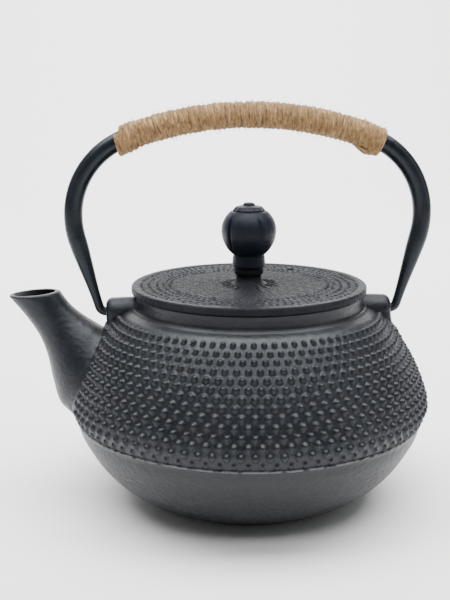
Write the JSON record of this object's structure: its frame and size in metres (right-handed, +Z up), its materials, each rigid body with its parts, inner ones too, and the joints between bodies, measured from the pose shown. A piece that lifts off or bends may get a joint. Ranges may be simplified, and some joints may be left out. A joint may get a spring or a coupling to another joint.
{
  "type": "cast iron teapot",
  "caption": "Squat cast iron teapot with a studded body, short spout, twine-wrapped swinging bail, lift-off lid with ball knob and lift-out infuser basket.",
  "frame": {"origin": "centre of the flat foot that the pot stands on", "axes": "+Z up along the pot's turning axis, spout towards -X, the handle's pegs on an axis parallel to X"},
  "size_m": [0.1919, 0.1652, 0.1808],
  "materials": {
    "cast_iron_body": "satin black, sand-cast texture",
    "cast_iron_lid": "satin black, finely pebbled",
    "cast_iron_knob": "satin black",
    "zinc_steel": "zinc plated",
    "black_steel": "semi-gloss black",
    "jute_twine": "coarse natural twine",
    "stainless_sheet": "brushed",
    "stainless_mesh": "fine mesh"
  },
  "bodies": {
    "pot": {"pot_body": "cast_iron_body"},
    "handle": {"handle_bail": "black_steel", "handle_wrap": "jute_twine"},
    "lid": {"lid": "cast_iron_lid", "lid_knob": "cast_iron_knob", "knob_screw": "zinc_steel", "knob_washer": "zinc_steel"},
    "infuser": {"infuser_rim": "stainless_sheet", "infuser_wall": "stainless_mesh", "infuser_floor": "stainless_mesh", "infuser_foot_ring": "stainless_sheet"}
  },
  "joints": [
    {"name": "handle_swing", "type": "hinge", "parent": "pot", "child": "handle", "pos_m": [0, 0, 0.0863], "axis": [1, 0, 0], "range_deg": [-100, 100]},
    {"name": "lid_lift", "type": "slide", "parent": "pot", "child": "lid", "axis": [0, 0, 1], "range_m": [0, 0.026]},
    {"name": "infuser_lift", "type": "slide", "parent": "pot", "child": "infuser", "axis": [0, 0, 1], "range_m": [0, 0.013]}
  ],
  "couplings": [
    {"joint": "infuser_lift", "follows": "lid_lift", "ratio": 0.5}
  ]
}
